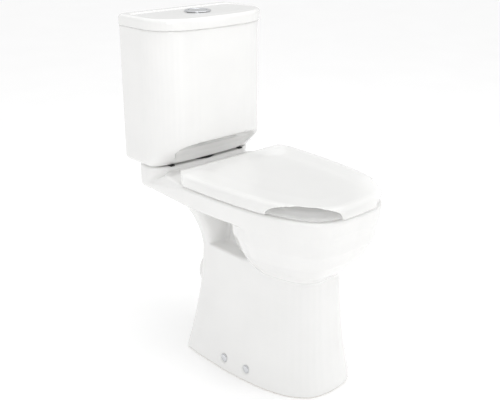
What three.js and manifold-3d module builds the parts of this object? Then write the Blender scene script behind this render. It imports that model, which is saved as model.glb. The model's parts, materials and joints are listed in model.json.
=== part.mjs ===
// Close coupled toilet: a floor standing ceramic pan, a ceramic cistern bolted on its shelf,
// a seat ring and a wrap-over cover on top-fixed hinges, and the dual flush fittings inside.
// The pan's casting is drawn whole and then parted at the joints where its cast parts are luted.
// Millimetres, +Z up. The back of the cistern is at y = 0 while the pieces are drawn and the
// front of the seat points along -Y; the assembly is centred on its depth at the very end.
import * as THREE from 'three';
import { mergeVertices } from 'three/addons/utils/BufferGeometryUtils.js';
import Module from 'manifold-3d';

const wasm = await Module();
wasm.setup();

// ---------------------------------------------------------------- driving dimensions
const DEPTH = 672;              // wall to the front tip of the cover
const GAP = 0.3;                // clearance between pieces that touch
const CLEAR = 0.5;              // clearance of a shaft in its hole

const RIM_Z = 485;              // top of the pan's rim and deck
const RIM_HALF = 183;
const RIM_TIP = -666;
const SHOULDER = -262;          // where the parallel sides start to round towards the tip
const DECK_UNDER_Z = 436;
const DECK_BACK = -128;
const BOWL_Y = -470;            // where the bowl's round back starts
const BOWL_REAR = 158;
const BOWL_DROP = 210;          // depth of the bowl's outside below the rim band
const OPENING_Y = -486;
const OPENING_HALF = 127;
const OPENING_LENGTH = 158;     // half of the opening's length
const WALL = 9;                 // ceramic wall thickness

const SHELF_Z = 495;            // top of the shelf that carries the cistern
const SHELF_UNDER_Z = 431;
const SHELF_BACK = -40;
const SHELF_FRONT = -144;
const SHELF_HALF = 166;

const FOOT_TIP = -615;          // front of the pedestal on the floor
const FOOT_BACK = -192;
const NECK_BACK = -230;         // back of the pedestal at its waist and of the wall above it
const LEDGE_Z = 318;            // ledge in the side pockets
const OUTLET_Z = 182;
const OUTLET_R = 51;
const OUTLET_END = -150;
const FIX_Z = 32;               // side fixing holes
const FIX_Y = [-354, -432];
const FIX_R = 12;

const TANK_HALF = 177;
const TANK_FRONT = -204;
const TANK_FOOT_Z = 498.5;
const TANK_FOOT_FRONT = -132;
const TANK_CHIN_Z = 557;        // lower edge of the cistern's front wall at its middle
const CHIN_DROP = 13;           // how much lower that edge is at the corners
const TANK_TOP_Z = 850;
const TANK_FLOOR_Z = 511;
const TANK_ROUND = 102;         // length of the rounded front part in plan
const LID_HALF = 180;
const LID_FRONT = -208;
const LID_TOP_Z = 878;
const LID_WALL = 8;

const VALVE_Y = -90;            // axis of the flush valve and the pan's inlet
const BUTTON_Y = -103;
const BUTTON_R = 24;
const BOLT_X = 82.5;            // bolts that hold the cistern on the shelf
const PAD_X = 117;
const PAD_Y = -126;
const INLET_X = 128;
const INLET_Y = -26;
const TOWER_TOP_Z = 640;
const COLUMN_TOP_Z = 700;       // top of the fill column and of the overflow pipe

const HINGE_X = 77.5;
const HINGE_Y = -240;
const HINGE_Z = 503;
const HINGE_BOLT_Y = -256;
const PLATE_TOP_Z = 487.6;      // top of the hinge's base plate
const PIN_R = 4;
const KNUCKLE_R = 7.5;
const COVER_HALF = 185;
const COVER_BACK = -225;
const COVER_SKIRT_Z = 489.5;
const COVER_TOP_Z = 522;
const COVER_WALL = 5;
const RING_HALF = 177;
const RING_TIP = -662;
const RING_BACK = -264;
const RING_LOW_Z = 488;
const RING_TOP_Z = 508;
const RING_GAP_HALF = 44;       // half of the gap at the ring's open front

// ---------------------------------------------------------------- materials
function material(color, roughness, metalness) {
  return new THREE.MeshStandardMaterial({ color, roughness, metalness });
}

const CERAMIC = material(0xf4f4f2, 0.12, 0);
const SEAT_WHITE = material(0xf2f2f0, 0.2, 0);
const CHROME = material(0xd6d8da, 0.08, 1);
const STEEL = material(0xb4b6b8, 0.35, 1);
const BRASS = material(0xb8964a, 0.35, 1);
const RUBBER = material(0x26262a, 0.8, 0);
const FITTING_WHITE = material(0xe4e6e8, 0.45, 0);
const FITTING_BLUE = material(0x5f86b0, 0.5, 0);
const FITTING_GREY = material(0x9aa0a6, 0.5, 0);

// ---------------------------------------------------------------- solid helpers
function toSolid(geometry) {
  const bare = geometry.clone();
  bare.deleteAttribute('normal');
  bare.deleteAttribute('uv');
  const merged = mergeVertices(bare, 1e-4);
  return new wasm.Manifold(new wasm.Mesh({
    numProp: 3,
    vertProperties: Float32Array.from(merged.attributes.position.array),
    triVerts: Uint32Array.from(merged.index.array),
  }));
}

function toGeometry(solid) {
  const mesh = solid.getMesh();
  const geometry = new THREE.BufferGeometry();
  geometry.setAttribute('position', new THREE.BufferAttribute(mesh.vertProperties, 3));
  geometry.setIndex(new THREE.BufferAttribute(mesh.triVerts, 1));
  geometry.computeVertexNormals();
  return geometry;
}

function join(first, ...others) {
  return others.reduce((sum, other) => sum.add(other), first);
}

function cut(first, ...others) {
  return others.reduce((rest, other) => rest.subtract(other), first);
}

// Closed body through a stack of rings that all have the same number of points.
function loft(rings) {
  const count = rings[0].length;
  const position = rings.flat(2);
  const index = [];
  for (let level = 0; level + 1 < rings.length; level += 1) {
    for (let i = 0; i < count; i += 1) {
      const next = (i + 1) % count;
      const low = level * count;
      const high = low + count;
      index.push(low + i, low + next, high + next);
      index.push(low + i, high + next, high + i);
    }
  }
  const lastRing = (rings.length - 1) * count;
  const outline = rings[0].map(([x, y]) => new THREE.Vector2(x, y));
  const outlineTop = rings[rings.length - 1].map(([x, y]) => new THREE.Vector2(x, y));
  for (const [a, b, c] of THREE.ShapeUtils.triangulateShape(outline, [])) {
    index.push(a, c, b);
  }
  for (const [a, b, c] of THREE.ShapeUtils.triangulateShape(outlineTop, [])) {
    index.push(lastRing + a, lastRing + b, lastRing + c);
  }
  const geometry = new THREE.BufferGeometry();
  geometry.setAttribute('position', new THREE.Float32BufferAttribute(position, 3));
  geometry.setIndex(index);
  return toSolid(geometry);
}

function lift(outline, z) {
  return outline.map(([x, y]) => [x, y, z]);
}

// Plan outline with a superelliptic front and a straight back with rounded corners.
// It runs anticlockwise seen from above, from the left shoulder round the front.
function dOutline(plan, inset = 0) {
  const { half, backHalf = plan.half, shoulder, tip, back, px, pt } = plan;
  const { corner = 12, steps = 32, cornerSteps = 4, taper = 0 } = plan;
  const width = half - inset;
  const reach = shoulder - tip - inset;
  const radius = Math.max(corner - inset, 1);
  const endHalf = backHalf - inset;
  const endY = back - inset;
  const points = [];
  for (let i = 0; i <= steps; i += 1) {
    const turn = Math.PI * (i / steps);
    const across = Math.cos(turn);
    const share = Math.sin(turn) ** (2 / pt);
    const x = -(width - taper * share) * Math.sign(across) * Math.abs(across) ** (2 / px);
    points.push([x, shoulder - reach * share]);
  }
  for (const side of [1, -1]) {
    for (let i = 0; i <= cornerSteps; i += 1) {
      const k = side > 0 ? i : cornerSteps - i;
      const turn = Math.PI / 2 * k / cornerSteps;
      const x = side * (endHalf - radius + radius * Math.cos(turn));
      points.push([x, endY - radius + radius * Math.sin(turn)]);
    }
  }
  return points;
}

// Oval outline: superelliptic front, plain elliptic back.
function ovalOutline(half, centreY, front, rear, px = 2, pt = 2, steps = 48) {
  const points = [];
  for (let i = 0; i < steps; i += 1) {
    const turn = 2 * Math.PI * i / steps;
    const across = Math.cos(turn);
    const along = Math.sin(turn);
    const ahead = along > 0;
    const x = -half * Math.sign(across) * Math.abs(across) ** (ahead ? 2 / px : 1);
    const reach = ahead ? front * along ** (2 / pt) : rear * along;
    points.push([x, centreY - reach]);
  }
  return points;
}

function cylinder(radius, z0, z1, x = 0, y = 0, sides = 24) {
  const geometry = new THREE.CylinderGeometry(radius, radius, z1 - z0, sides);
  geometry.rotateX(Math.PI / 2);
  geometry.translate(x, y, (z0 + z1) / 2);
  return toSolid(geometry);
}

function cylinderX(radius, x0, x1, y, z, sides = 20) {
  const geometry = new THREE.CylinderGeometry(radius, radius, Math.abs(x1 - x0), sides);
  geometry.rotateZ(Math.PI / 2);
  geometry.translate((x0 + x1) / 2, y, z);
  return toSolid(geometry);
}

function cylinderY(radius, y0, y1, x, z, sides = 24) {
  const geometry = new THREE.CylinderGeometry(radius, radius, Math.abs(y1 - y0), sides);
  geometry.translate(x, (y0 + y1) / 2, z);
  return toSolid(geometry);
}

function box(x0, x1, y0, y1, z0, z1) {
  const geometry = new THREE.BoxGeometry(x1 - x0, y1 - y0, z1 - z0);
  geometry.translate((x0 + x1) / 2, (y0 + y1) / 2, (z0 + z1) / 2);
  return toSolid(geometry);
}

// Body of revolution about a vertical line; the profile is [radius, z] pairs that start
// and end on the axis, or close on themselves.
function turned(profile, x, y, sides = 24) {
  const points = profile.map(([radius, z]) => new THREE.Vector2(radius, z));
  const geometry = new THREE.LatheGeometry(points, sides);
  geometry.rotateX(Math.PI / 2);
  geometry.translate(x, y, 0);
  return toSolid(geometry);
}

function washer(innerRadius, outerRadius, z0, z1, x, y, sides = 24) {
  const profile = [
    [innerRadius, z0],
    [outerRadius, z0],
    [outerRadius, z1],
    [innerRadius, z1],
    [innerRadius, z0],
  ];
  return turned(profile, x, y, sides);
}

// Nut with flats outside and a round bore.
function nut(innerRadius, outerRadius, z0, z1, x, y, flats) {
  const body = cylinder(outerRadius, z0, z1, x, y, flats);
  return cut(body, cylinder(innerRadius + CLEAR, z0 - 1, z1 + 1, x, y, 28));
}

function tube(points, radius, sides) {
  const path = new THREE.CatmullRomCurve3(points.map(([x, y, z]) => new THREE.Vector3(x, y, z)));
  const section = new THREE.Shape();
  section.absarc(0, 0, radius, 0, 2 * Math.PI);
  const options = { steps: 12, curveSegments: sides / 2, extrudePath: path };
  return toSolid(new THREE.ExtrudeGeometry(section, options));
}

// ---------------------------------------------------------------- pan
// Shape of the front that the rim, the ring and the cover share.
const FRONT_CURVE = { px: 4, pt: 2.65, taper: 8 };

const RIM_PLAN = {
  half: RIM_HALF,
  backHalf: 166,
  shoulder: SHOULDER,
  tip: RIM_TIP,
  back: DECK_BACK,
  ...FRONT_CURVE,
  corner: 52,
  steps: 28,
};

function deck() {
  const under = { ...RIM_PLAN, half: RIM_HALF - 2, tip: RIM_TIP + 2, back: SHELF_BACK - 2, corner: 26 };
  return loft([
    lift(dOutline(under, 7), DECK_UNDER_Z),
    lift(dOutline(under, 2), DECK_UNDER_Z + 3),
    lift(dOutline(under), DECK_UNDER_Z + 10),
    lift(dOutline(RIM_PLAN), RIM_Z - 6),
    lift(dOutline(RIM_PLAN, 1.2), RIM_Z - 1.8),
    lift(dOutline(RIM_PLAN, 4), RIM_Z),
  ]);
}

// Share of the full bowl outline that is left at a depth below the rim band.
function bowlShare(z) {
  const fall = (RIM_Z - 13 - z) / BOWL_DROP;
  return Math.sqrt(1 - fall ** 2.15);
}

// The bowl follows the rim's outline ahead of BOWL_Y and closes with a plain ellipse behind.
function bowlRing(z, inset, steps) {
  const share = bowlShare(z);
  const reach = SHOULDER - RIM_TIP;
  const start = Math.asin(((SHOULDER - BOWL_Y) / reach) ** (RIM_PLAN.pt / 2));
  const frontReach = BOWL_Y - RIM_TIP;
  const half = rimHalf(start);
  const alongShare = share - inset / frontReach;
  const acrossShare = share - inset / half;
  const points = [];
  for (let i = 0; i <= steps; i += 1) {
    const turn = start + (Math.PI - 2 * start) * i / steps;
    const y = SHOULDER - reach * Math.sin(turn) ** (2 / RIM_PLAN.pt);
    const x = -Math.sign(Math.cos(turn)) * rimHalf(turn);
    points.push([x * acrossShare, BOWL_Y + (y - BOWL_Y) * alongShare, z]);
  }
  for (let i = 1; i < steps / 2; i += 1) {
    const turn = 2 * Math.PI * i / steps;
    const x = half * acrossShare * Math.cos(turn);
    points.push([x, BOWL_Y + (BOWL_REAR * share - inset) * Math.sin(turn), z]);
  }
  return points;
}

function rimHalf(turn) {
  const share = Math.sin(turn) ** (2 / RIM_PLAN.pt);
  return (RIM_HALF - RIM_PLAN.taper * share) * Math.abs(Math.cos(turn)) ** (2 / RIM_PLAN.px);
}

function bowlOutside(inset, steps) {
  const heights = [264, 271, 284, 303, 328, 359, 398, RIM_Z - 13];
  return loft(heights.map((z) => bowlRing(z, inset, steps)));
}

// Inside of the bowl, from the rim down to the sump; outset thickens it for the wall.
function bowlInside(outset, top, steps) {
  const levels = [
    [168, 33, 33, -424],
    [196, 36, 38, -428],
    [226, 46, 52, -438],
    [262, 64, 76, -452],
    [304, 84, 102, -466],
    [352, 103, 128, -478],
    [402, 117, 147, -484],
    [446, 124, 155, -486],
    [474, OPENING_HALF, OPENING_LENGTH, OPENING_Y],
    [RIM_Z, OPENING_HALF + 5, OPENING_LENGTH + 5, OPENING_Y],
  ];
  levels.push([top, OPENING_HALF + 6, OPENING_LENGTH + 6, OPENING_Y]);
  return loft(levels.map(([z, half, length, y]) => (
    lift(ovalOutline(half + outset, y, length + outset, length + outset, 2, 2, steps), z)
  )));
}

// Centre line of the trap, from the sump round its bend to the horizontal outlet.
const TRAP_PATH = [
  [0, -428, 176],
  [0, -432, 138],
  [0, -404, 98],
  [0, -354, 86],
  [0, -310, 108],
  [0, -278, 152],
  [0, -240, OUTLET_Z],
  [0, OUTLET_END - 34, OUTLET_Z],
];
const TRAP_BORE = 32;
const TRAP_OUTER = 41;

function pedestalRing(z, inset, steps = 26) {
  const rise = Math.min(z, 300) / 300;
  const flare = (1 - rise) ** 1.7;
  const plan = {
    half: 110 + 37 * flare,
    backHalf: 110 + 34 * flare,
    shoulder: -300,
    tip: -586 + (FOOT_TIP + 586) * flare,
    back: NECK_BACK + (FOOT_BACK - NECK_BACK) * flare,
    px: 2.9,
    pt: 2.5,
    corner: 22,
    steps,
  };
  return lift(dOutline(plan, inset), z);
}

function pedestal() {
  const heights = [12, 55, 110, 180, 250, LEDGE_Z];
  return loft([pedestalRing(0, 2.5), ...heights.map((z) => pedestalRing(z, 0))]);
}

// Space inside the pedestal, open at the floor, with a thicker foot.
function pedestalHollow() {
  const foot = pedestalRing(0, WALL + 5, 14).map(([x, y]) => [x, y, -5]);
  const heights = [14, 80, 170, LEDGE_Z - WALL];
  return loft([foot, ...heights.map((z) => pedestalRing(z, WALL, 14))]);
}

// Wall behind the side pockets: it flares from the pedestal out to the underside of the deck.
function rearWall() {
  const levels = [
    [LEDGE_Z - 60, 108],
    [LEDGE_Z - 10, 110],
    [LEDGE_Z + 22, 117],
    [LEDGE_Z + 52, 128],
    [LEDGE_Z + 82, 143],
    [LEDGE_Z + 106, 160],
    [DECK_UNDER_Z + 14, 172],
  ];
  const shape = { shoulder: -258, tip: -276, back: NECK_BACK, px: 5, pt: 2, corner: 22, steps: 16 };
  return loft(levels.map(([z, half]) => lift(dOutline({ ...shape, half }), z)));
}

function neck() {
  const rings = [[LEDGE_Z - 40, 78], [LEDGE_Z, 66], [LEDGE_Z + 30, 56], [DECK_UNDER_Z + 10, 60]];
  return loft(rings.map(([z, half]) => (
    lift(ovalOutline(half, -310, 110, 70, 2, 2, 24), z)
  )));
}

const SHELF_PLAN = {
  half: SHELF_HALF,
  shoulder: -88,
  tip: SHELF_FRONT,
  back: SHELF_BACK,
  px: 3.4,
  pt: 2,
  corner: 26,
  steps: 22,
};

function shelf() {
  return loft([
    lift(dOutline(SHELF_PLAN, 12), SHELF_UNDER_Z),
    lift(dOutline(SHELF_PLAN, 4), SHELF_UNDER_Z + 3),
    lift(dOutline(SHELF_PLAN), SHELF_UNDER_Z + 14),
    lift(dOutline(SHELF_PLAN), SHELF_Z - 6),
    lift(dOutline(SHELF_PLAN, 1.5), SHELF_Z - 1.5),
    lift(dOutline(SHELF_PLAN, 4), SHELF_Z),
  ]);
}

// Web that carries the shelf on the rear wall.
function shelfBracket() {
  const levels = [[330, -234, 84], [376, -212, 96], [SHELF_UNDER_Z + 8, -120, 124]];
  return loft(levels.map(([z, back, half]) => {
    const plan = { half, shoulder: -250, tip: -270, back, px: 4, pt: 2, corner: 16, steps: 8 };
    return lift(dOutline(plan), z);
  }));
}

function fixingBosses(radius, depth) {
  const parts = [];
  for (const side of [-1, 1]) {
    for (const y of FIX_Y) {
      const skin = sideSkinX(y);
      parts.push(cylinderX(radius, side * (skin - depth), side * (skin + 4), y, FIX_Z, 12));
    }
  }
  return parts;
}

// Outer half width of the pedestal at the height of the side fixings.
function sideSkinX(y) {
  const ring = pedestalRing(FIX_Z, 0).filter(([x]) => x > 0);
  for (let i = 0; i + 1 < ring.length; i += 1) {
    const [x0, y0] = ring[i];
    const [x1, y1] = ring[i + 1];
    if ((y0 - y) * (y1 - y) <= 0 && y0 !== y1 && x0 > 100) {
      return x0 + (x1 - x0) * (y - y0) / (y1 - y0);
    }
  }
  return 130;
}

const SUMP_STEPS = 16;
const BOSS_DEPTH = 20;
const RECESS_DEPTH = 7;

function hollowOfPan() {
  const belowBowl = box(-200, 200, -700, -330, 270, RIM_Z - 11);
  const aroundBowl = bowlOutside(WALL + 1, 14).intersect(belowBowl);
  const insideNeck = box(-44, 44, -335, NECK_BACK - 9, LEDGE_Z - 40, DECK_UNDER_Z - 6);
  const hollow = join(pedestalHollow(), aroundBowl, insideNeck);
  return cut(hollow, bowlInside(WALL, RIM_Z, SUMP_STEPS), ...fixingBosses(FIX_R + 5, BOSS_DEPTH));
}

function shelfPockets() {
  const pockets = [];
  for (const side of [-1, 1]) {
    const inner = side * 98;
    const outer = side * 148;
    const x0 = Math.min(inner, outer);
    const x1 = Math.max(inner, outer);
    pockets.push(box(x0, x1, -104, SHELF_BACK - 12, SHELF_UNDER_Z - 4, SHELF_Z - 14));
  }
  return pockets;
}

function flushChannel() {
  return join(
    cylinder(30, 452, SHELF_Z + 5, 0, VALVE_Y, 24),
    cylinder(43, SHELF_Z - 18, SHELF_Z + 5, 0, VALVE_Y, 28),
    box(-56, 56, -300, VALVE_Y, 448, 470),
    cylinderY(10, -290, -345, 0, 459, 12),
  );
}

function panHoles() {
  const holes = [cylinderY(OUTLET_R + 2 * GAP, -170, NECK_BACK - 20, 0, OUTLET_Z, 28)];
  for (const side of [-1, 1]) {
    holes.push(cylinder(6, SHELF_UNDER_Z - 5, SHELF_Z + 5, side * BOLT_X, VALVE_Y, 14));
    holes.push(cylinder(7, RIM_Z - 42, RIM_Z + 5, side * HINGE_X, HINGE_BOLT_Y, 14));
    for (const y of FIX_Y) {
      const skin = sideSkinX(y);
      holes.push(cylinderX(FIX_R, side * (skin - RECESS_DEPTH), side * (skin + 8), y, FIX_Z, 24));
      holes.push(cylinderX(4, side * (skin - 30), side * skin, y, FIX_Z, 12));
    }
  }
  return holes;
}

function panCasting() {
  const outside = join(
    deck(), bowlOutside(0, 26), pedestal(), rearWall(), neck(), shelf(), shelfBracket(),
  );
  const shell = cut(outside, hollowOfPan());
  const spaces = [bowlInside(0, RIM_Z + 10, 32), tube(TRAP_PATH, TRAP_BORE, 12), flushChannel()];
  return cut(shell, ...spaces, ...panHoles(), ...shelfPockets());
}

const CASTING = panCasting();
const FOOT_JOINT_Z = 296;       // joint of the pedestal with what stands on it
const RIM_JOINT_Z = 450;        // joint of the rim with the outer wall
const BOWL_JOINT_Y = -310;      // joint of the bowl with the waist behind it
const SHELF_JOINT_Y = -228;     // joint of the waist with the cistern shelf

// The share of the casting in a range of depth and height, half a gap short of each joint.
function castPart(y0, y1, z0, z1) {
  const half = GAP / 2;
  return CASTING.intersect(box(-200, 200, y0 + half, y1 - half, z0 + half, z1 - half));
}

function panPedestal() {
  const around = castPart(-700, 0, -10, FOOT_JOINT_Z);
  return cut(around, bowlInside(WALL + GAP, RIM_Z, SUMP_STEPS));
}

// Rim with the bowl and the sump that hang down from it.
function pan() {
  const reach = box(-200, 200, -700, BOWL_JOINT_Y, 100, RIM_JOINT_Z + WALL);
  const bowl = CASTING.intersect(bowlInside(WALL, RIM_Z, SUMP_STEPS)).intersect(reach);
  return join(castPart(-700, BOWL_JOINT_Y, RIM_JOINT_Z, 600), bowl);
}

// Outer wall around the bowl.
function panSkirt() {
  const around = castPart(-700, BOWL_JOINT_Y, FOOT_JOINT_Z, RIM_JOINT_Z);
  return cut(around, bowlInside(WALL + GAP, RIM_Z, SUMP_STEPS));
}

function panWaist() {
  return castPart(BOWL_JOINT_Y, SHELF_JOINT_Y, FOOT_JOINT_Z, 600);
}

function panShelf() {
  return castPart(SHELF_JOINT_Y, 0, FOOT_JOINT_Z, 600);
}

// Trap and outlet spigot, luted to the bowl's sump and to the back of the pedestal.
function trapway() {
  const spigot = join(
    cylinderY(OUTLET_R, OUTLET_END, NECK_BACK - 14, 0, OUTLET_Z, 28),
    cylinderY(OUTLET_R + 2, OUTLET_END, OUTLET_END - 9, 0, OUTLET_Z, 28),
  );
  const mouth = cylinderY(OUTLET_R - 8, OUTLET_END + 5, -200, 0, OUTLET_Z, 24);
  const body = join(tube(TRAP_PATH, TRAP_OUTER, 10), spigot);
  return cut(body, tube(TRAP_PATH, TRAP_BORE, 12), mouth, bowlInside(WALL + GAP, RIM_Z, SUMP_STEPS));
}

// ---------------------------------------------------------------- cistern
function tankPlan(front, half) {
  const plan = { half, shoulder: TANK_FRONT + TANK_ROUND, tip: front, back: 0 };
  return { ...plan, px: 3.3, pt: 2, corner: 14, steps: 26 };
}

// Front of the cistern's outside at a height: the chin slopes back to the foot.
function tankFront(z) {
  const share = Math.min(1, Math.max(0, (z - TANK_FOOT_Z) / (TANK_CHIN_Z - TANK_FOOT_Z)));
  return TANK_FOOT_FRONT + (TANK_FRONT - TANK_FOOT_FRONT) * share;
}

function tankHalf(z) {
  const rise = Math.min(1, (z - TANK_FOOT_Z) / 16);
  return TANK_HALF - 10 * (1 - rise) ** 2;
}

// Ring of the cistern's outside; the front edge of the chin dips towards the corners.
function tankRing(z, front, inset = 0) {
  const dip = CHIN_DROP * Math.max(0, 1 - Math.abs(z - TANK_CHIN_Z) / 60);
  const outline = dOutline(tankPlan(front, tankHalf(z)), inset);
  return outline.map(([x, y]) => [x, y, z - dip * (x / TANK_HALF) ** 2]);
}

function tankOutside() {
  const z0 = TANK_FOOT_Z;
  const chin = TANK_CHIN_Z;
  const rings = [0, 4, 9, 16, 30, 44].map((rise) => tankRing(z0 + rise, tankFront(z0 + rise)));
  rings.push(tankRing(chin - 2, TANK_FRONT + 5));
  rings.push(tankRing(chin + 5, TANK_FRONT + 1.5));
  rings.push(tankRing(chin + 13, TANK_FRONT));
  rings.push(tankRing(chin + 62, TANK_FRONT));
  rings.push(tankRing(TANK_TOP_Z - 1, TANK_FRONT));
  rings.push(tankRing(TANK_TOP_Z, TANK_FRONT, 2));
  return loft(rings);
}

function cisternTank() {
  const inside = (front, inset) => dOutline(tankPlan(front, TANK_HALF), inset);
  const hollow = loft([
    lift(inside(TANK_FOOT_FRONT - 8, 12), TANK_FLOOR_Z),
    lift(inside(TANK_FOOT_FRONT - 14, 10), TANK_FLOOR_Z + 6),
    lift(inside(TANK_FRONT + 14, 9), TANK_CHIN_Z + 12),
    lift(inside(TANK_FRONT, 9), TANK_CHIN_Z + 34),
    lift(inside(TANK_FRONT, 9), TANK_TOP_Z + 5),
  ]);
  return cut(
    tankOutside(),
    hollow.subtract(handRecess(9)),
    handRecess(0),
    cylinder(27, TANK_FOOT_Z - 5, TANK_FLOOR_Z + 5, 0, VALVE_Y, 28),
    cylinder(6, TANK_FOOT_Z - 5, TANK_FLOOR_Z + 5, BOLT_X, VALVE_Y, 14),
    cylinder(6, TANK_FOOT_Z - 5, TANK_FLOOR_Z + 5, -BOLT_X, VALVE_Y, 14),
    cylinder(8, TANK_FOOT_Z - 5, TANK_FLOOR_Z + 5, INLET_X, INLET_Y, 14),
  );
}

// Recess in the sloping underside: a hand reaches the coupling bolts through it.
function handRecess(outset) {
  const levels = [
    [-4, 118, -133],
    [22, 128, -143],
    [42, 136, -157],
    [53, 132, -170],
    [61, 118, -184],
    [66, 92, -195],
    [68, 50, -203],
  ];
  return loft(levels.map(([rise, width, wall]) => {
    const shape = { half: width + outset, shoulder: -240, tip: -262, back: wall + outset };
    const ring = dOutline({ ...shape, px: 4, pt: 2, corner: 22, steps: 6 });
    return lift(ring, TANK_FOOT_Z + rise + (rise > 50 ? outset : 0));
  }));
}

function lidPlan(grow) {
  const plan = { half: LID_HALF - grow, shoulder: LID_FRONT + TANK_ROUND, tip: LID_FRONT + grow };
  return { ...plan, back: -grow, px: 3.3, pt: 2, corner: 16, steps: 26 };
}

function cisternLid() {
  const low = TANK_TOP_Z + GAP;
  const outside = loft([
    lift(dOutline(lidPlan(1)), low),
    lift(dOutline(lidPlan(0)), low + 2),
    lift(dOutline(lidPlan(0)), LID_TOP_Z - 9),
    lift(dOutline(lidPlan(1.5)), LID_TOP_Z - 4),
    lift(dOutline(lidPlan(5)), LID_TOP_Z - 1),
    lift(dOutline(lidPlan(10)), LID_TOP_Z),
  ]);
  const dish = { half: LID_HALF - 14, shoulder: LID_FRONT + 90, tip: LID_FRONT - 30, back: -24 };
  const recess = loft([
    lift(dOutline({ ...dish, px: 3.3, pt: 2, corner: 22 }, 3), LID_TOP_Z - 2.5),
    lift(dOutline({ ...dish, px: 3.3, pt: 2, corner: 22 }), LID_TOP_Z + 2),
  ]);
  const slope = toSolid(tiltedSlab());
  const hollow = loft([
    lift(dOutline(lidPlan(LID_WALL + 4)), low - 5),
    lift(dOutline(lidPlan(LID_WALL + 4)), LID_TOP_Z - 16),
    lift(dOutline(lidPlan(LID_WALL + 12)), LID_TOP_Z - 11),
  ]);
  const buttonHole = cylinder(BUTTON_R + 3.5, LID_TOP_Z - 20, LID_TOP_Z + 5, 0, BUTTON_Y, 32);
  return cut(outside, recess.intersect(slope), hollow, buttonHole);
}

// Slab whose underside falls to the back, so that the recess fades out towards the front.
function tiltedSlab() {
  const geometry = new THREE.BoxGeometry(400, 260, 40);
  geometry.translate(0, 0, 20);
  geometry.rotateX(-0.0165);
  geometry.translate(0, -105, LID_TOP_Z - 1.05);
  return geometry;
}

// ---------------------------------------------------------------- flush fittings
function gasketRing() {
  return washer(34, 42, SHELF_Z - 17, TANK_FOOT_Z - GAP, 0, VALVE_Y, 28);
}

function flushValveBody() {
  const tail = 26;
  const floor = TANK_FLOOR_Z + GAP;
  const profile = [
    [20, 470],
    [tail, 470],
    [tail, floor],
    [33.5, floor],
    [33.5, floor + 4],
    [30, floor + 8],
    [30, floor + 22],
    [25, floor + 26],
    [20, floor + 26],
    [20, 470],
  ];
  return turned(profile, 0, VALVE_Y, 28);
}

function flushValveNut() {
  return nut(26, 33, SHELF_Z - 15, TANK_FOOT_Z - GAP, 0, VALVE_Y, 8);
}

// Tower with windows that guides the plunger and carries the two push actuators.
function flushTower() {
  const low = TANK_FLOOR_Z + 9;
  const shell = washer(30.5, 33.5, low, TOWER_TOP_Z, 0, VALVE_Y, 28);
  const roof = washer(14, 33.5, TOWER_TOP_Z, TOWER_TOP_Z + 4, 0, VALVE_Y, 28);
  const windows = [];
  for (let i = 0; i < 3; i += 1) {
    const slab = new THREE.BoxGeometry(30, 90, 70);
    slab.translate(0, 45, TOWER_TOP_Z - 60);
    slab.rotateZ(2 * Math.PI * i / 3);
    slab.translate(0, VALVE_Y, 0);
    windows.push(toSolid(slab));
  }
  return cut(join(shell, roof), ...windows);
}

function flushPlunger() {
  const seat = TANK_FLOOR_Z + 33;
  const profile = [
    [9, seat],
    [24, seat],
    [24, seat + 6],
    [12, seat + 12],
    [12, COLUMN_TOP_Z],
    [9, COLUMN_TOP_Z],
    [9, seat],
  ];
  return turned(profile, 0, VALVE_Y, 20);
}

function flushSeal() {
  const seat = TANK_FLOOR_Z + 28;
  return washer(10, 27, seat, seat + 4.4, 0, VALVE_Y, 24);
}

function fillValveShank() {
  const floor = TANK_FLOOR_Z + GAP;
  const profile = [
    [4, 462],
    [7.2, 462],
    [7.2, floor],
    [12, floor],
    [12, floor + 5],
    [9, floor + 7],
    [9, COLUMN_TOP_Z],
    [4, COLUMN_TOP_Z],
    [4, 462],
  ];
  return turned(profile, INLET_X, INLET_Y, 18);
}

function fillValveNut() {
  return nut(7.2, 12.5, TANK_FOOT_Z - 12, TANK_FOOT_Z - GAP, INLET_X, INLET_Y, 6);
}

function fillValveHead() {
  const profile = [
    [0, COLUMN_TOP_Z + GAP],
    [15, COLUMN_TOP_Z + GAP],
    [15, COLUMN_TOP_Z + 16],
    [10, COLUMN_TOP_Z + 22],
    [0, COLUMN_TOP_Z + 22],
  ];
  return turned(profile, INLET_X, INLET_Y, 20);
}

function floatCup() {
  return washer(10, 15, 560, 602, INLET_X, INLET_Y, 20);
}

function couplingBolt(x) {
  const head = TANK_FLOOR_Z + 3.6;
  return join(
    cylinder(4, 408, head, x, VALVE_Y, 14),
    cylinder(9, head - 0.1, head + 5, x, VALVE_Y, 6),
  );
}

function couplingWasher(x) {
  return washer(4 + CLEAR, 12, TANK_FLOOR_Z + GAP, TANK_FLOOR_Z + 3.3, x, VALVE_Y, 18);
}

function wingNut(x) {
  const top = SHELF_UNDER_Z - GAP;
  const hub = cylinder(9, top - 12, top, x, VALVE_Y, 16);
  const wings = box(x - 17, x + 17, VALVE_Y - 2, VALVE_Y + 2, top - 11, top - 2);
  return cut(join(hub, wings), cylinder(4 + CLEAR, top - 20, top + 5, x, VALVE_Y, 14));
}

function cisternPad(side) {
  const low = SHELF_Z + GAP;
  const high = TANK_FOOT_Z - GAP;
  return box(side * PAD_X - 6, side * PAD_X + 6, PAD_Y - 8, PAD_Y + 18, low, high);
}

// ---------------------------------------------------------------- push buttons
function buttonBezel() {
  const top = LID_TOP_Z;
  const profile = [
    [BUTTON_R, top - 34],
    [BUTTON_R + 3, top - 34],
    [BUTTON_R + 3, top + GAP],
    [35, top + GAP],
    [34.5, top + 2.2],
    [BUTTON_R + 4, top + 4],
    [BUTTON_R + 0.6, top + 3],
    [BUTTON_R, top + 1],
    [BUTTON_R, top - 34],
  ];
  return turned(profile, 0, BUTTON_Y, 30);
}

function bezelNut() {
  const top = LID_TOP_Z - 11 - GAP;
  return nut(BUTTON_R + 3, 35, top - 9, top, 0, BUTTON_Y, 12);
}

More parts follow.
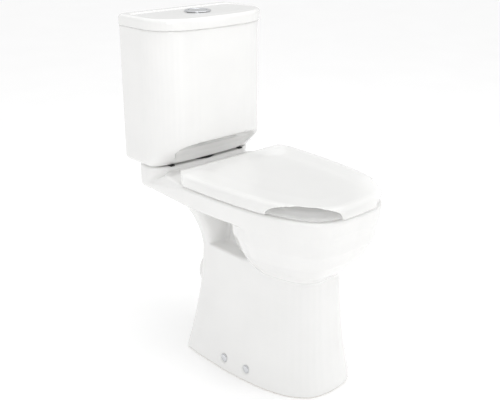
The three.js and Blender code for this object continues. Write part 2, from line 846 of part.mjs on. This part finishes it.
// One half of the split disc; side is -1 for the small flush and 1 for the full flush.
function halfButton(side, splitX) {
  const top = LID_TOP_Z + 2.6;
  const profile = [
    [0, top - 14],
    [BUTTON_R - CLEAR, top - 14],
    [BUTTON_R - CLEAR, top - 1.5],
    [BUTTON_R - 2, top],
    [0, top + 0.6],
  ];
  const disc = turned(profile, 0, BUTTON_Y, 30);
  const edge = splitX + side * CLEAR;
  const x0 = side > 0 ? edge : -40;
  const x1 = side > 0 ? 40 : edge;
  return disc.intersect(box(x0, x1, BUTTON_Y - 40, BUTTON_Y + 40, top - 30, top + 10));
}

function pushRod(x) {
  return join(
    cylinder(2.5, COLUMN_TOP_Z + 12, LID_TOP_Z - 11.4 - GAP, x, BUTTON_Y, 12),
    cylinder(5, LID_TOP_Z - 16, LID_TOP_Z - 11.4 - GAP, x, BUTTON_Y, 12),
  );
}

// ---------------------------------------------------------------- seat
const RING_PLAN = {
  half: RING_HALF,
  backHalf: 165,
  shoulder: SHOULDER - 8,
  tip: RING_TIP,
  back: RING_BACK,
  ...FRONT_CURVE,
  corner: 10,
  steps: 32,
};

function knuckle(x0, x1, reachY, side) {
  const barrel = cylinderX(KNUCKLE_R, side * x0, side * x1, HINGE_Y, HINGE_Z, 14);
  const low = Math.min(side * x0, side * x1);
  const high = Math.max(side * x0, side * x1);
  const arm = box(low, high, reachY, HINGE_Y, HINGE_Z - 5, HINGE_Z + 5);
  return join(barrel, arm);
}

function pinBores(radius) {
  return [-1, 1].map((side) => cylinderX(radius, side * 40, side * 120, HINGE_Y, HINGE_Z, 12));
}

function seatRing() {
  const low = RING_LOW_Z;
  const high = RING_TOP_Z;
  const outside = loft([
    lift(dOutline(RING_PLAN, 3), low),
    lift(dOutline(RING_PLAN), low + 4),
    lift(dOutline(RING_PLAN, 1), high - 7),
    lift(dOutline(RING_PLAN, 5), high - 2),
    lift(dOutline(RING_PLAN, 12), high),
  ]);
  const hole = (half, length) => ovalOutline(half, OPENING_Y + 8, length, length, 2, 2, 36);
  const opening = loft([
    lift(hole(117, 146), low - 5),
    lift(hole(117, 146), high - 8),
    lift(hole(121, 150), high - 2),
    lift(hole(131, 160), high + 5),
  ]);
  const solid = cut(outside, opening, frontGap());
  const knuckles = [-1, 1].map((side) => knuckle(87.5, 99, RING_BACK - 12, side));
  return cut(join(solid, ...knuckles), ...pinBores(PIN_R + CLEAR));
}

// Gap at the front of the ring, with rounded ends on the two arms.
function frontGap() {
  const shape = new THREE.Shape();
  shape.moveTo(-RING_GAP_HALF, -560);
  shape.lineTo(-RING_GAP_HALF, -646);
  shape.quadraticCurveTo(-RING_GAP_HALF, -662, -RING_GAP_HALF - 18, -668);
  shape.lineTo(-RING_GAP_HALF - 18, -700);
  shape.lineTo(RING_GAP_HALF + 18, -700);
  shape.lineTo(RING_GAP_HALF + 18, -668);
  shape.quadraticCurveTo(RING_GAP_HALF, -662, RING_GAP_HALF, -646);
  shape.lineTo(RING_GAP_HALF, -560);
  shape.closePath();
  const options = { depth: 60, bevelEnabled: false, curveSegments: 5 };
  const geometry = new THREE.ExtrudeGeometry(shape, options);
  geometry.translate(0, 0, RING_LOW_Z - 20);
  return toSolid(geometry);
}

const COVER_PLAN = {
  half: COVER_HALF,
  backHalf: 172,
  shoulder: SHOULDER,
  tip: -DEPTH,
  back: COVER_BACK,
  ...FRONT_CURVE,
  corner: 8,
  steps: 36,
};

function seatCover() {
  const low = COVER_SKIRT_Z;
  const high = COVER_TOP_Z;
  const outside = loft([
    lift(dOutline(COVER_PLAN, 1.5), low),
    lift(dOutline(COVER_PLAN), low + 3),
    lift(dOutline(COVER_PLAN), high - 11),
    lift(dOutline(COVER_PLAN, 2), high - 6),
    lift(dOutline(COVER_PLAN, 7), high - 2.4),
    lift(dOutline(COVER_PLAN, 16), high - 1),
    lift(dOutline(COVER_PLAN, 60), high),
  ]);
  const inner = { ...COVER_PLAN, back: COVER_BACK + 60 };
  const hollow = loft([
    lift(dOutline(inner, COVER_WALL), low - 5),
    lift(dOutline(inner, COVER_WALL), high - 12),
    lift(dOutline(inner, COVER_WALL + 6), high - 6),
  ]);
  const shell = cut(outside, hollow, ...fingerScallops());
  const knuckles = [-1, 1].map((side) => coverKnuckle(side));
  return cut(join(shell, ...knuckles), ...pinBores(PIN_R + CLEAR));
}

function coverKnuckle(side) {
  const low = Math.min(side * 56, side * 67.5);
  const high = Math.max(side * 56, side * 67.5);
  const barrel = cylinderX(KNUCKLE_R, low, high, HINGE_Y, HINGE_Z, 14);
  const web = box(low, high, HINGE_Y - 7, HINGE_Y + 5, HINGE_Z, COVER_TOP_Z - 5);
  return join(barrel, web);
}

// Arched cut through the skirt at each front quarter, where fingers lift the cover.
function fingerScallops() {
  return [-1, 1].map((side) => {
    const geometry = new THREE.SphereGeometry(1, 40, 20);
    geometry.scale(117, 44, 33);
    geometry.rotateZ(side * 1.0);
    geometry.translate(side * 123.5, -624.5, COVER_SKIRT_Z - 1);
    return toSolid(geometry);
  });
}

function ringBuffer(x, y) {
  return cylinder(8, RIM_Z + GAP, RING_LOW_Z - GAP, x, y, 14);
}

function coverBuffer(x, y) {
  return cylinder(6, RING_TOP_Z + GAP, COVER_TOP_Z - 6 - GAP, x, y, 12);
}

function hingePost(side) {
  const x = side * HINGE_X;
  const plate = box(x - 15, x + 15, HINGE_BOLT_Y - 10, HINGE_Y + 10, RIM_Z + GAP, PLATE_TOP_Z);
  const post = box(x - 8.5, x + 8.5, HINGE_Y - 7, HINGE_Y + 7, PLATE_TOP_Z - 0.5, HINGE_Z);
  const barrel = cylinderX(KNUCKLE_R, x - 8.5, x + 8.5, HINGE_Y, HINGE_Z, 14);
  const bolt = cylinder(4, RIM_Z - 5, RIM_Z + 10, x, HINGE_BOLT_Y, 14);
  const pin = cylinderX(PIN_R + CLEAR, x - 20, x + 20, HINGE_Y, HINGE_Z, 12);
  return cut(join(plate, post, barrel), bolt, pin);
}

function hingePin(side) {
  return cylinderX(PIN_R, side * 54, side * 101, HINGE_Y, HINGE_Z, 12);
}

function hingeBush(side) {
  return washer(3 + CLEAR, 6.5, RIM_Z - 40, RIM_Z - GAP, side * HINGE_X, HINGE_BOLT_Y, 14);
}

function hingeBolt(side) {
  const x = side * HINGE_X;
  const seat = PLATE_TOP_Z + GAP;
  return join(
    cylinder(3, RIM_Z - 36, seat + 0.5, x, HINGE_BOLT_Y, 12),
    cylinder(5.5, seat, seat + 2.6, x, HINGE_BOLT_Y, 14),
  );
}

// ---------------------------------------------------------------- floor fixings
function floorBracket(side) {
  const inner = side * (sideSkinX(FIX_Y[1]) - BOSS_DEPTH - 6);
  const x0 = Math.min(inner, inner - side * 5);
  const x1 = Math.max(inner, inner - side * 5);
  const foot0 = Math.min(inner, inner - side * 42);
  const foot1 = Math.max(inner, inner - side * 42);
  const leg = box(x0, x1, FIX_Y[1] - 22, FIX_Y[0] + 22, GAP, 52);
  const foot = box(foot0, foot1, FIX_Y[1] - 22, FIX_Y[0] + 22, GAP, 6);
  const holes = FIX_Y.map((y) => cylinderX(3.6, inner - side * 20, inner + side * 20, y, FIX_Z, 12));
  return cut(join(leg, foot), ...holes);
}

function sideScrew(side, y) {
  const skin = sideSkinX(y);
  const seat = skin - RECESS_DEPTH + GAP;
  return join(
    cylinderX(3, side * (skin - 52), side * (seat + 0.5), y, FIX_Z, 12),
    cylinderX(6, side * seat, side * (seat + 2.4), y, FIX_Z, 14),
  );
}

function sideCap(side, y) {
  const skin = sideSkinX(y);
  const points = [[0, 0], [FIX_R - 1, 0], [FIX_R - 1, 2], [FIX_R - 3, 3.6], [5, 4.6], [0, 4.8]];
  const profile = points.map(([radius, out]) => new THREE.Vector2(radius, out));
  const geometry = new THREE.LatheGeometry(profile, 18);
  geometry.rotateZ(-side * Math.PI / 2);
  geometry.translate(side * (skin - RECESS_DEPTH + 3), y, FIX_Z);
  return toSolid(geometry);
}

// ---------------------------------------------------------------- assembly
const toilet = new THREE.Group();
toilet.name = 'close_coupled_toilet';
toilet.position.y = DEPTH / 2;

function place(name, solid, finish) {
  const mesh = new THREE.Mesh(toGeometry(solid), finish);
  mesh.name = name;
  toilet.add(mesh);
}

const SIDES = [['left', 1], ['right', -1]];

function placeCeramics() {
  place('pan', pan(), CERAMIC);
  place('pan_skirt', panSkirt(), CERAMIC);
  place('pan_pedestal', panPedestal(), CERAMIC);
  place('pan_waist', panWaist(), CERAMIC);
  place('pan_shelf', panShelf(), CERAMIC);
  place('trapway', trapway(), CERAMIC);
  place('cistern_tank', cisternTank(), CERAMIC);
  place('cistern_lid', cisternLid(), CERAMIC);
}

function placeFlushFittings() {
  place('coupling_gasket', gasketRing(), RUBBER);
  place('flush_valve_body', flushValveBody(), FITTING_WHITE);
  place('flush_valve_nut', flushValveNut(), FITTING_WHITE);
  place('flush_valve_tower', flushTower(), FITTING_GREY);
  place('flush_plunger', flushPlunger(), FITTING_BLUE);
  place('flush_seal', flushSeal(), RUBBER);
  place('fill_valve_shank', fillValveShank(), FITTING_WHITE);
  place('fill_valve_nut', fillValveNut(), FITTING_WHITE);
  place('fill_valve_head', fillValveHead(), FITTING_GREY);
  place('float_cup', floatCup(), FITTING_BLUE);
}

function placeCoupling() {
  for (const [name, side] of SIDES) {
    place(`coupling_bolt_${name}`, couplingBolt(side * BOLT_X), BRASS);
    place(`coupling_washer_${name}`, couplingWasher(side * BOLT_X), RUBBER);
    place(`coupling_wing_nut_${name}`, wingNut(side * BOLT_X), FITTING_WHITE);
    place(`cistern_pad_${name}`, cisternPad(side), RUBBER);
  }
}

function placeButtons() {
  const split = 4;
  place('button_bezel', buttonBezel(), CHROME);
  place('button_bezel_nut', bezelNut(), FITTING_GREY);
  place('full_flush_button', halfButton(-1, split), CHROME);
  place('half_flush_button', halfButton(1, split), CHROME);
  place('full_flush_rod', pushRod(-9), FITTING_WHITE);
  place('half_flush_rod', pushRod(15), FITTING_WHITE);
}

function placeSeat() {
  place('seat_ring', seatRing(), SEAT_WHITE);
  place('seat_cover', seatCover(), SEAT_WHITE);
  for (const [name, side] of SIDES) {
    place(`ring_buffer_rear_${name}`, ringBuffer(side * 142, -330), RUBBER);
    place(`ring_buffer_front_${name}`, ringBuffer(side * 127, -560), RUBBER);
    place(`cover_buffer_${name}`, coverBuffer(side * 140, -400), RUBBER);
    place(`hinge_post_${name}`, hingePost(side), STEEL);
    place(`hinge_pin_${name}`, hingePin(side), STEEL);
    place(`hinge_bush_${name}`, hingeBush(side), RUBBER);
    place(`hinge_bolt_${name}`, hingeBolt(side), STEEL);
  }
}

function placeFloorFixings() {
  for (const [name, side] of SIDES) {
    place(`floor_bracket_${name}`, floorBracket(side), FITTING_GREY);
    for (const [index, y] of FIX_Y.entries()) {
      const where = index === 0 ? 'rear' : 'front';
      place(`side_screw_${where}_${name}`, sideScrew(side, y), STEEL);
      place(`side_cap_${where}_${name}`, sideCap(side, y), CHROME);
    }
  }
}

placeCeramics();
placeFlushFittings();
placeCoupling();
placeButtons();
placeSeat();
placeFloorFixings();

export default toilet;
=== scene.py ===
"""Looks of the close coupled toilet: glazed ceramics, a milky see-through seat and metal fittings.

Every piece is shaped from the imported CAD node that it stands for, so it lies where the frame says.
The ceramics are one closed skin each, drawn fine and relaxed so that the casting's edges run soft.
"""
import json
import math

import bmesh
import bpy
import numpy as np
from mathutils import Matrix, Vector


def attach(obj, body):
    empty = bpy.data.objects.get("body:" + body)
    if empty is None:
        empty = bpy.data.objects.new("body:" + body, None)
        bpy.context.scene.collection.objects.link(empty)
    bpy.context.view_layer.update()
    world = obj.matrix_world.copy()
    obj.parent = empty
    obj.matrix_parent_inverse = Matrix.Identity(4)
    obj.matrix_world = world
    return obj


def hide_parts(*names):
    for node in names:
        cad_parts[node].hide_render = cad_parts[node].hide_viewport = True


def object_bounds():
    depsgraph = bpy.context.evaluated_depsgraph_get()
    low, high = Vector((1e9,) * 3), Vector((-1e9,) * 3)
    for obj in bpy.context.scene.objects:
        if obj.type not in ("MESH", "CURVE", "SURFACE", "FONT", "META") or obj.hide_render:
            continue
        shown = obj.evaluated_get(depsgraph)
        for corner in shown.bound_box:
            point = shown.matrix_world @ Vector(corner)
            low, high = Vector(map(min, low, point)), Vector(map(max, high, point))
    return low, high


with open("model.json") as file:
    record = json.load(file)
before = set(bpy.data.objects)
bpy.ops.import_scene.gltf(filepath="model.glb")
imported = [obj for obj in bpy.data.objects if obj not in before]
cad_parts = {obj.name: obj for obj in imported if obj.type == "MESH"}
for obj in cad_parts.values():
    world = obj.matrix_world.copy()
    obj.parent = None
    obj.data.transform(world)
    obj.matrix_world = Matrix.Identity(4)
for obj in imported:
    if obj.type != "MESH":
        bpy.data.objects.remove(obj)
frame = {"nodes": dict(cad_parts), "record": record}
cad_low, cad_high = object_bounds()
NODES = frame["nodes"]
SLOT_OF = {row["node"]: row["material_slot"] for row in frame["record"]["subparts"]}
BODY_OF = {}
for body_name, members in frame["record"]["behaviour"]["bodies"].items():
    for member in members:
        BODY_OF[member] = body_name

# ------------------------------------------------------------------ driving values
MM = 0.001
PAN_VOXEL = 3.4 * MM
TANK_VOXEL = 3.0 * MM
LID_VOXEL = 1.9 * MM
SEAT_VOXEL = 1.9 * MM
FITTING_VOXEL = 0.7 * MM
PAN_ROUNDS = 40                  # rounds of relaxing that each skin gets
TANK_ROUNDS = 26
LID_ROUNDS = 8
SEAT_ROUNDS = 12
BUTTON_ROUNDS = 4
BEZEL_ROUNDS = 5
CAP_ROUNDS = 4
POST_ROUNDS = 3
EDGE_REACH = 0.62                # furthest that relaxing moves a point, as a share of the voxel
BEVEL = 0.45 * MM
CREASE = math.radians(38)

CAMERA_AT = (-1.3161, -1.4217, 1.1665)
CAMERA_PITCH = 20.842            # degrees below the horizon
CAMERA_TURN = 42.112             # degrees clockwise from +Y
LENS = 58.77
SENSOR = 36.0

ZENITH = 0.95                    # brightness of the studio overhead
HORIZON = 0.68                   # and level with the object
HORIZON_RISE = 0.25              # height of a direction at which the studio begins to brighten
ZENITH_RISE = 0.75               # and at which it is as bright as overhead
FLOOR_HALF = 20                  # metres
FLOOR_GLOW = 0.13
COVER_ALPHA = 0.60
RING_ALPHA = 0.35
MILK_GLOW = 0.06                 # stands in for light that scatters inside the milky plastic
JOINT = 0.25 * MM                # each cast part is grown by this, so that the luted joints close
CAST_PARTS = ["pan", "pan_skirt", "pan_pedestal", "pan_waist", "pan_shelf", "trapway"]


# ------------------------------------------------------------------ materials
class Paint:
    """A Principled material with the few nodes that the finishes below share."""

    def __init__(self, name, **sockets):
        self.material = bpy.data.materials.new(name)
        self.material.use_nodes = True
        self.tree = self.material.node_tree
        self.shader = self.tree.nodes["Principled BSDF"]
        self.place = self.tree.nodes.new("ShaderNodeTexCoord").outputs["Object"]
        for label, value in sockets.items():
            self.shader.inputs[label.replace("_", " ")].default_value = value

    def node(self, kind, **values):
        made = self.tree.nodes.new(kind)
        for label, value in values.items():
            made.inputs[label.replace("_", " ")].default_value = value
        return made

    def link(self, source, target):
        self.tree.links.new(source, target)

    def noise(self, scale, detail=2.0, stretch=(1, 1, 1)):
        """Noise with about this many grains to a metre."""
        mapping = self.node("ShaderNodeMapping")
        mapping.inputs["Scale"].default_value = stretch
        self.link(self.place, mapping.inputs["Vector"])
        made = self.node("ShaderNodeTexNoise", Scale=scale, Detail=detail)
        self.link(mapping.outputs["Vector"], made.inputs["Vector"])
        return made.outputs["Fac"]

    def ramp(self, source, low, high, start=0.3, end=0.7):
        """A number from low to high as source goes from start to end."""
        made = self.node("ShaderNodeMapRange", From_Min=start, From_Max=end, To_Min=low, To_Max=high)
        self.link(source, made.inputs["Value"])
        return made.outputs["Result"]

    def blend(self, factor, first, second):
        """A colour between first and second; each is a tuple or a socket."""
        made = self.node("ShaderNodeMix")
        made.data_type = "RGBA"
        self.link(factor, made.inputs["Factor"])
        for side, value in (("A", first), ("B", second)):
            socket = [s for s in made.inputs if s.name == side and s.type == "RGBA"][0]
            if isinstance(value, tuple):
                socket.default_value = (*value, 1)
            else:
                self.link(value, socket)
        return [s for s in made.outputs if s.type == "RGBA"][0]

    def colour(self, source):
        self.link(source, self.shader.inputs["Base Color"])

    def rough(self, source):
        self.link(source, self.shader.inputs["Roughness"])

    def bump(self, *layers):
        """Each layer is a height source, its depth in metres and its strength."""
        below = None
        for source, depth, strength in layers:
            made = self.node("ShaderNodeBump", Distance=depth, Strength=strength)
            self.link(source, made.inputs["Height"])
            if below is not None:
                self.link(below, made.inputs["Normal"])
            below = made.outputs["Normal"]
        self.link(below, self.shader.inputs["Normal"])


def glaze():
    """Fired white glaze: it pools in slow waves and leaves a bare biscuit edge at the floor."""
    paint = Paint("glaze", IOR=1.52, Coat_Weight=0.35, Coat_Roughness=0.03)
    cloud = paint.noise(7.0, 3.0)
    white = paint.blend(paint.ramp(cloud, 0, 1), (0.855, 0.853, 0.843), (0.89, 0.888, 0.878))
    split = paint.node("ShaderNodeSeparateXYZ")
    paint.link(paint.place, split.inputs["Vector"])
    bare = paint.ramp(split.outputs["Z"], 1, 0, 1.2 * MM, 3.0 * MM)
    grain = paint.blend(paint.ramp(paint.noise(900, 4), 0, 1), (0.62, 0.58, 0.52), (0.72, 0.69, 0.64))
    paint.colour(paint.blend(bare, white, grain))
    gloss = paint.ramp(paint.noise(40, 3), 0.07, 0.13)
    rough = paint.node("ShaderNodeMix")
    rough.data_type = "FLOAT"
    paint.link(bare, rough.inputs["Factor"])
    paint.link(gloss, rough.inputs[2])
    rough.inputs[3].default_value = 0.85
    paint.rough(rough.outputs[0])
    paint.bump((paint.noise(11, 1), 1.2 * MM, 0.25), (paint.noise(260, 2), 0.05 * MM, 0.12))
    return paint.material


def milky(name, alpha, tint):
    """Moulded thermoplastic, glossy and partly see-through."""
    paint = Paint(name, IOR=1.49, Alpha=alpha, Coat_Weight=0.6, Coat_Roughness=0.02, Sheen_Weight=0.7)
    # painted glow: the plastic gives off a faint light of its own tint, lifting its shade in place of
    # light scattered inside it
    paint.shader.inputs["Emission Color"].default_value = (*tint, 1)
    paint.shader.inputs["Emission Strength"].default_value = MILK_GLOW
    flow = paint.noise(9, 2, (1, 0.4, 1))
    low = tuple(0.97 * c for c in tint)
    paint.colour(paint.blend(paint.ramp(flow, 0, 1), low, tint))
    paint.rough(paint.ramp(paint.noise(60, 3), 0.08, 0.16))
    paint.bump((paint.noise(14, 1), 0.5 * MM, 0.2), (paint.noise(420, 2), 0.03 * MM, 0.1))
    return paint.material


def chrome():
    paint = Paint("chrome", Metallic=1.0)
    smear = paint.noise(90, 4)
    paint.colour(paint.blend(paint.ramp(smear, 0, 1), (0.62, 0.63, 0.65), (0.74, 0.75, 0.77)))
    paint.rough(paint.ramp(paint.noise(300, 3), 0.05, 0.16))
    paint.bump((paint.noise(180, 2), 0.05 * MM, 0.15))
    return paint.material


def brushed(name, dark, light):
    """Drawn or turned metal, with fine lines along its length."""
    paint = Paint(name, Metallic=1.0, Anisotropic=0.3)
    lines = paint.noise(500, 4, (1, 1, 0.05))
    paint.colour(paint.blend(paint.ramp(lines, 0, 1), dark, light))
    paint.rough(paint.ramp(lines, 0.22, 0.42))
    paint.bump((lines, 0.05 * MM, 0.3))
    return paint.material


def moulded(name, dark, light, rough_low, rough_high, grain):
    """Matt plastic or rubber with a fine moulded grain."""
    paint = Paint(name)
    paint.colour(paint.blend(paint.ramp(paint.noise(35, 4), 0, 1), dark, light))
    paint.rough(paint.ramp(paint.noise(grain * 0.5, 2), rough_low, rough_high))
    paint.bump((paint.noise(grain, 3), 0.08 * MM, 0.35))
    return paint.material


def make_finishes():
    return {
        "ceramic": glaze(),
        "seat_cover_plastic": milky("cover_plastic", COVER_ALPHA, (0.97, 0.97, 0.96)),
        "seat_ring_plastic": milky("ring_plastic", RING_ALPHA, (0.94, 0.94, 0.93)),
        "chrome": chrome(),
        "steel": brushed("steel", (0.48, 0.49, 0.5), (0.66, 0.67, 0.68)),
        "brass": brushed("brass", (0.5, 0.37, 0.15), (0.66, 0.51, 0.24)),
        "rubber": moulded("rubber", (0.02, 0.02, 0.022), (0.04, 0.04, 0.042), 0.6, 0.85, 1500),
        "buffer_rubber": moulded("buffer_rubber", (0.84, 0.84, 0.83), (0.9, 0.9, 0.89), 0.5, 0.7, 1200),
        "fitting_white": moulded("fitting_white", (0.7, 0.71, 0.72), (0.78, 0.79, 0.8), 0.35, 0.5, 900),
        "fitting_grey": moulded("fitting_grey", (0.3, 0.32, 0.34), (0.38, 0.4, 0.42), 0.4, 0.55, 900),
        "fitting_blue": moulded("fitting_blue", (0.08, 0.2, 0.42), (0.12, 0.27, 0.52), 0.35, 0.5, 900),
    }


FINISHES = make_finishes()


# ------------------------------------------------------------------ mesh work
def joined_mesh(name, nodes, grow=0.0):
    """One mesh with the closed surfaces of these CAD nodes."""
    gathered = bmesh.new()
    for node in nodes:
        gathered.from_mesh(NODES[node].data)
    bmesh.ops.remove_doubles(gathered, verts=gathered.verts, dist=1e-6)
    gathered.normal_update()
    for vert in gathered.verts:
        vert.co += grow * vert.normal
    mesh = bpy.data.meshes.new(name)
    gathered.to_mesh(mesh)
    gathered.free()
    return mesh


def through_modifiers(obj):
    """Applies the object's modifiers to its own mesh."""
    graph = bpy.context.evaluated_depsgraph_get()
    final = bpy.data.meshes.new_from_object(obj.evaluated_get(graph))
    obj.modifiers.clear()
    obj.data = final


def places_of(mesh):
    places = np.empty(len(mesh.vertices) * 3)
    mesh.vertices.foreach_get("co", places)
    return places.reshape(-1, 3)


def set_places(mesh, places):
    mesh.vertices.foreach_set("co", places.reshape(-1))
    mesh.update()


def relax(mesh, rounds, reach, shrink=0.5, swell=-0.52):
    """Evens out the facets of the coarse solid, and keeps its volume by swelling back each round.

    No point moves further than reach, so that facets go and true edges stay crisp.
    """
    count = len(mesh.vertices)
    places = places_of(mesh)
    edges = np.empty(len(mesh.edges) * 2, dtype=np.int64)
    mesh.edges.foreach_get("vertices", edges)
    first, second = edges[0::2], edges[1::2]
    degree = np.bincount(edges, minlength=count)[:, None]
    start = places.copy()
    for _ in range(rounds):
        for factor in (shrink, swell):
            near = np.empty_like(places)
            for axis in range(3):
                line = places[:, axis]
                total = np.bincount(first, weights=line[second], minlength=count)
                total += np.bincount(second, weights=line[first], minlength=count)
                near[:, axis] = total
            places += factor * (near / degree - places)
    moved = places - start
    length = np.linalg.norm(moved, axis=1, keepdims=True)
    set_places(mesh, start + moved * np.minimum(1, reach / np.maximum(length, 1e-9)))


def stand_for(obj, nodes):
    """Puts the piece in the place of its CAD nodes: body, slot and finish."""
    slot = SLOT_OF[nodes[0]]
    obj.data.materials.clear()
    obj.data.materials.append(FINISHES[slot])
    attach(obj, BODY_OF[nodes[0]])
    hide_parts(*nodes)


def make_smooth(mesh):
    mesh.polygons.foreach_set("use_smooth", [True] * len(mesh.polygons))


def skin(name, nodes, voxel, rounds, grow=0.0):
    """A fine closed skin over CAD solids, relaxed so that facets vanish and edges run soft.

    It stays within the box that the solids fill before they are grown.
    """
    obj = bpy.data.objects.new(name, joined_mesh(name, nodes, grow))
    grown = places_of(obj.data)
    bpy.context.scene.collection.objects.link(obj)
    remesh = obj.modifiers.new("skin", "REMESH")
    remesh.mode = "VOXEL"
    remesh.voxel_size = voxel
    through_modifiers(obj)
    relax(obj.data, rounds, EDGE_REACH * voxel)
    low = grown.min(axis=0) + grow
    high = grown.max(axis=0) - grow
    set_places(obj.data, np.clip(places_of(obj.data), low, high))
    make_smooth(obj.data)
    stand_for(obj, nodes)


def machined(node):
    """A small fitting with its edges broken by a fine bevel."""
    name = f"{node}_shaped"
    obj = bpy.data.objects.new(name, joined_mesh(name, [node]))
    bpy.context.scene.collection.objects.link(obj)
    bevel = obj.modifiers.new("edge", "BEVEL")
    bevel.width = BEVEL
    bevel.segments = 2
    bevel.limit_method = "ANGLE"
    bevel.angle_limit = CREASE
    bevel.use_clamp_overlap = True
    through_modifiers(obj)
    make_smooth(obj.data)
    obj.data.set_sharp_from_angle(angle=CREASE)
    stand_for(obj, [node])


def make_ceramics():
    skin("pan_casting", CAST_PARTS, PAN_VOXEL, PAN_ROUNDS, JOINT)
    skin("cistern_body", ["cistern_tank"], TANK_VOXEL, TANK_ROUNDS)
    skin("cistern_cover_slab", ["cistern_lid"], LID_VOXEL, LID_ROUNDS)


def make_seat():
    skin("cover_moulding", ["seat_cover"], SEAT_VOXEL, SEAT_ROUNDS)
    skin("ring_moulding", ["seat_ring"], SEAT_VOXEL, SEAT_ROUNDS)


def make_fittings():
    """Skins for the fittings that show most, and broken edges for all the nodes that are left."""
    fine = {
        "button_bezel": BEZEL_ROUNDS,
        "full_flush_button": BUTTON_ROUNDS,
        "half_flush_button": BUTTON_ROUNDS,
    }
    for side in ("left", "right"):
        fine[f"hinge_post_{side}"] = POST_ROUNDS
        for place in ("rear", "front"):
            fine[f"side_cap_{place}_{side}"] = CAP_ROUNDS
    for node, rounds in fine.items():
        skin(f"{node}_shaped", [node], FITTING_VOXEL, rounds)
    for node in sorted(NODES):
        if not NODES[node].hide_render:
            machined(node)


# ------------------------------------------------------------------ stage
def make_floor():
    grid = bmesh.new()
    bmesh.ops.create_grid(grid, x_segments=8, y_segments=8, size=FLOOR_HALF)
    mesh = bpy.data.meshes.new("floor")
    grid.to_mesh(mesh)
    grid.free()
    floor = bpy.data.objects.new("floor", mesh)
    floor.location.z = -0.2 * MM
    bpy.context.scene.collection.objects.link(floor)
    paint = Paint("floor_paper", Roughness=0.9, Specular_IOR_Level=0.1)
    paint.colour(paint.blend(paint.ramp(paint.noise(3), 0, 1), (0.93, 0.93, 0.93), (0.95, 0.95, 0.95)))
    paint.shader.inputs["Emission Color"].default_value = (1, 1, 1, 1)
    paint.shader.inputs["Emission Strength"].default_value = FLOOR_GLOW
    floor.data.materials.append(paint.material)


def make_world():
    """A white studio that brightens from the horizon upwards."""
    world = bpy.data.worlds.new("studio")
    world.use_nodes = True
    tree = world.node_tree
    background = tree.nodes["Background"]
    background.inputs["Color"].default_value = (1, 1, 1, 1)
    split = tree.nodes.new("ShaderNodeSeparateXYZ")
    tree.links.new(tree.nodes.new("ShaderNodeTexCoord").outputs["Generated"], split.inputs["Vector"])
    rise = tree.nodes.new("ShaderNodeMapRange")
    rise.inputs["From Min"].default_value = HORIZON_RISE
    rise.inputs["From Max"].default_value = ZENITH_RISE
    rise.inputs["To Min"].default_value = HORIZON
    rise.inputs["To Max"].default_value = ZENITH
    tree.links.new(split.outputs["Z"], rise.inputs["Value"])
    tree.links.new(rise.outputs["Result"], background.inputs["Strength"])
    bpy.context.scene.world = world


def soft_light(name, place, aim, size, power, spread=180):
    """A square lamp of this size in metres and power in watts, which spreads this many degrees."""
    data = bpy.data.lights.new(name, "AREA")
    data.spread = math.radians(spread)
    data.shape = "SQUARE"
    data.size = size
    data.energy = power
    lamp = bpy.data.objects.new(name, data)
    lamp.location = place
    toward = Vector(aim) - Vector(place)
    lamp.rotation_mode = "QUATERNION"
    lamp.rotation_quaternion = toward.to_track_quat("-Z", "Y")
    bpy.context.scene.collection.objects.link(lamp)


def make_lights():
    middle = (cad_low + cad_high) / 2
    aim = (middle.x, middle.y, cad_high.z * 0.75)
    soft_light("key", (1.4, -2.6, 1.5), aim, 1.6, 7)
    soft_light("low_front", (-0.7, -1.9, 0.35), (middle.x, cad_high.y - 0.2, 0.53), 0.9, 0.9)
    soft_light("overhead", (0.2, -0.3, 2.9), (0, -0.1, 0.5), 2.0, 16.5)
    cistern = (middle.x, cad_high.y - 0.15, cad_high.z * 0.85)
    soft_light("cistern_glow", (-1.5, -1.5, 1.3), cistern, 0.8, 0.42, spread=40)


def make_camera():
    data = bpy.data.cameras.new("view")
    data.lens = LENS
    data.sensor_width = SENSOR
    camera = bpy.data.objects.new("view", data)
    camera.location = CAMERA_AT
    camera.rotation_euler = (math.radians(90 - CAMERA_PITCH), 0, -math.radians(CAMERA_TURN))
    bpy.context.scene.collection.objects.link(camera)
    bpy.context.scene.camera = camera


make_ceramics()
make_seat()
make_fittings()
make_floor()
make_world()
make_lights()
make_camera()
bpy.context.scene.view_settings.view_transform = "Standard"
